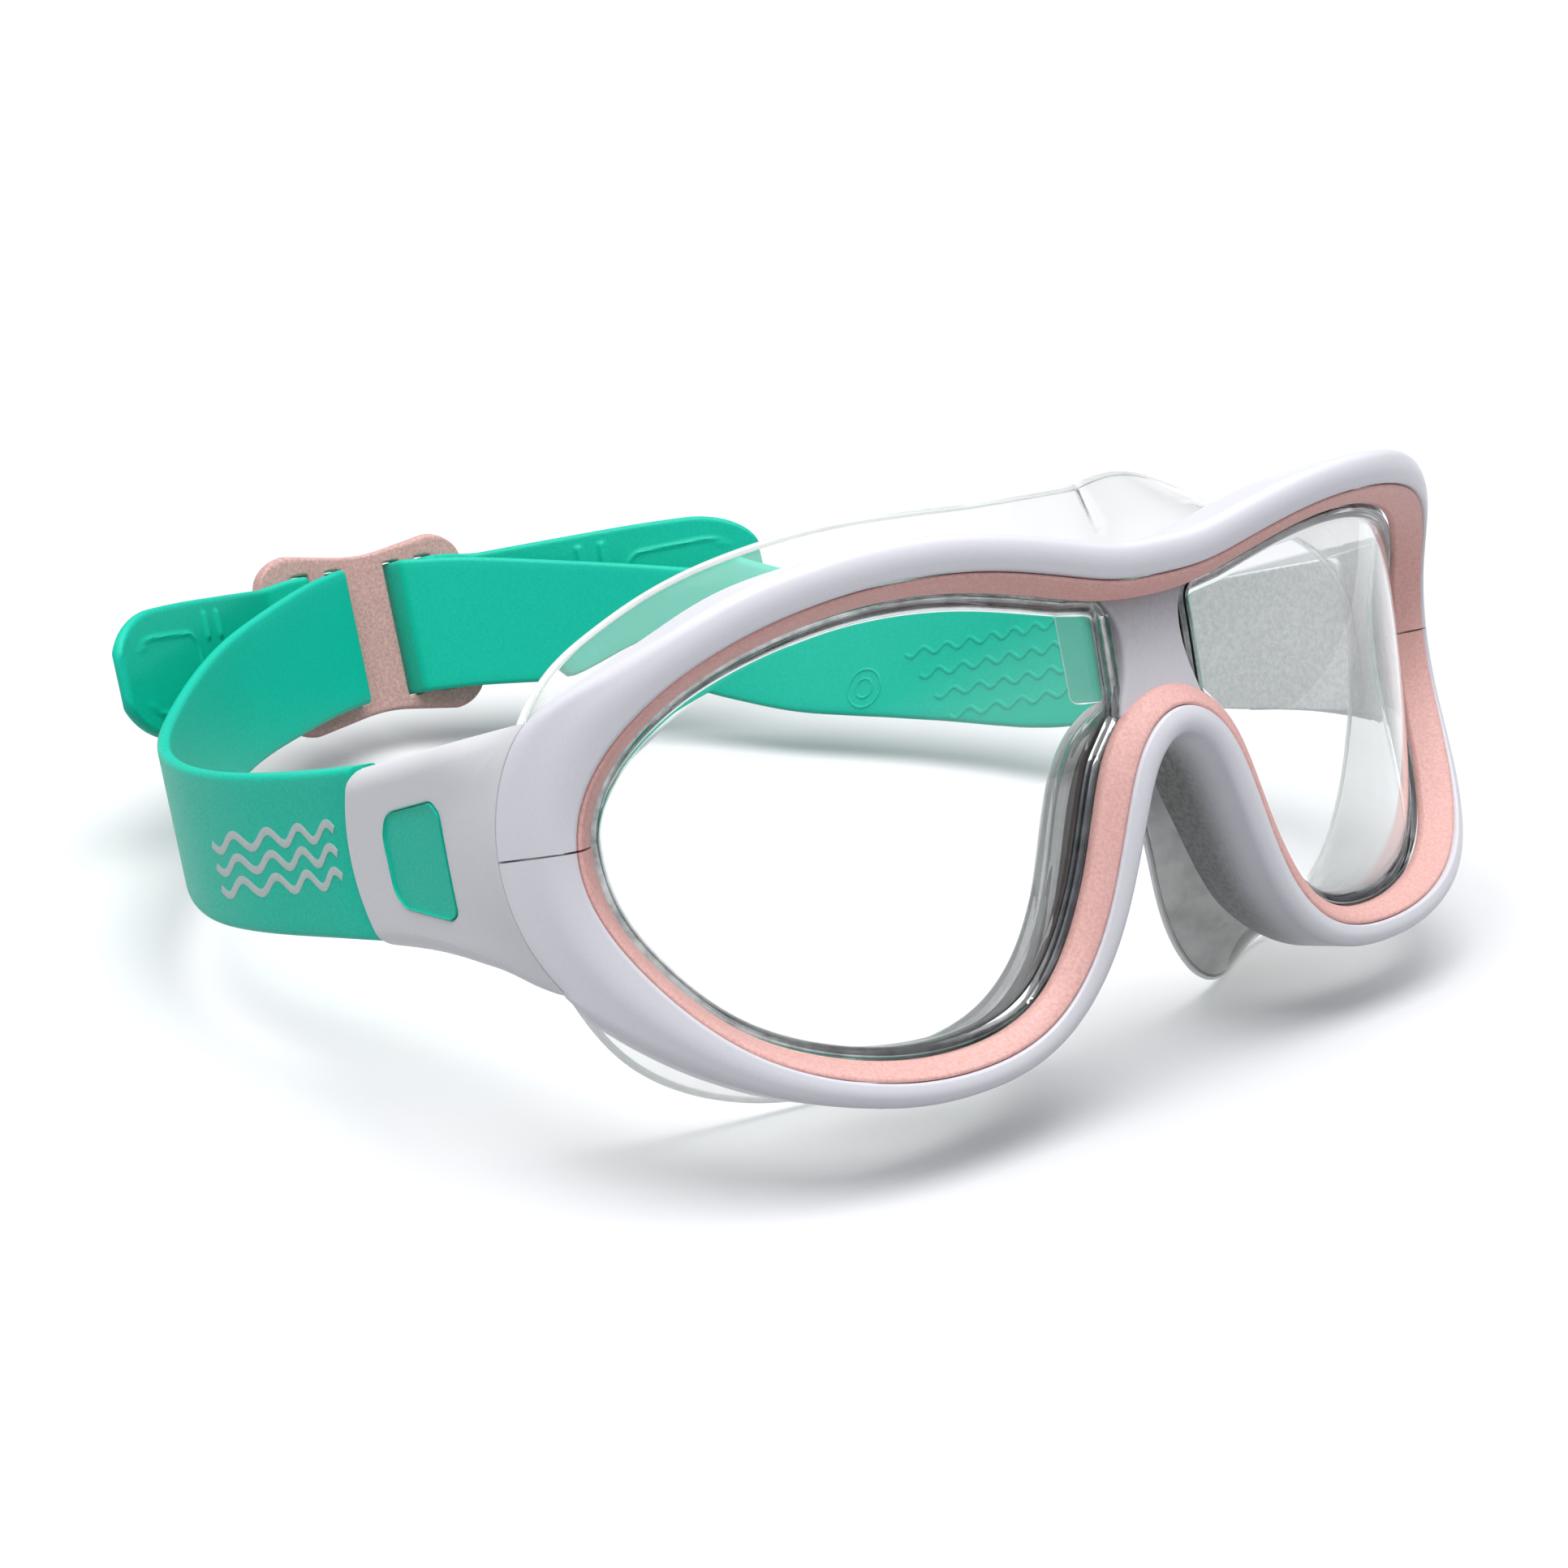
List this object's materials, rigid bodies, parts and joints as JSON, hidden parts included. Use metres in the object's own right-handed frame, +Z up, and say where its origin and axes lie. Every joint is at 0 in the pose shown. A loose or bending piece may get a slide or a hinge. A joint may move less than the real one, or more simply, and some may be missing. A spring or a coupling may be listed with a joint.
{
  "type": "swim goggles",
  "caption": "Wide-view swim goggles: white two-part frame with a pink bezel, clear lenses and skirt, side arms, and a turquoise strap with a rear buckle and loose tails.",
  "frame": {"origin": "on the surface the goggles rest on, under the middle of their box", "axes": "-Y the way the wearer looks, +Y to the buckle at the back of the head, +X to the right seen from in front, +Z up"},
  "size_m": [0.1582, 0.1912, 0.0684],
  "materials": {
    "frame_plastic": "satin white moulded plastic with a faint lavender cast",
    "cover_plastic": "matte light grey inner covers",
    "bezel_plastic": "fine-grained matte coral pink",
    "lens_clear": "clear polished polycarbonate",
    "skirt_silicone": "clear glossy silicone",
    "strap_silicone": "turquoise silicone with a fine matte grain",
    "buckle_plastic": "fine-grained matte dusty pink"
  },
  "bodies": {
    "mask": {"frame_upper": "frame_plastic", "frame_lower": "frame_plastic", "bezel_upper": "bezel_plastic", "bezel_lower": "bezel_plastic", "bridge_plate": "frame_plastic", "lens_left": "lens_clear", "lens_right": "lens_clear", "skirt": "skirt_silicone", "arm_left": "frame_plastic", "arm_cover_left": "cover_plastic", "strap_anchor_left": "strap_silicone", "arm_right": "frame_plastic", "arm_cover_right": "cover_plastic", "strap_anchor_right": "strap_silicone"},
    "harness": {"strap_left": "strap_silicone", "strap_right": "strap_silicone", "buckle": "buckle_plastic"},
    "left_tail": {"tail_left": "strap_silicone"},
    "right_tail": {"tail_right": "strap_silicone"}
  },
  "joints": [
    {"name": "strap_lift", "type": "hinge", "parent": "mask", "child": "harness", "pos_m": [0, -0.04911, 0.03379], "axis": [1, 0, 0], "range_deg": [-10, 20], "stiffness_Nm_per_rad": 0.4},
    {"name": "tail_left_slide", "type": "slide", "parent": "harness", "child": "left_tail", "axis": [-0.8078, -0.5637, 0.1724], "range_m": [0, 0.012]},
    {"name": "tail_right_slide", "type": "slide", "parent": "harness", "child": "right_tail", "axis": [0.8078, -0.5637, 0.1724], "range_m": [0, 0.012]}
  ]
}
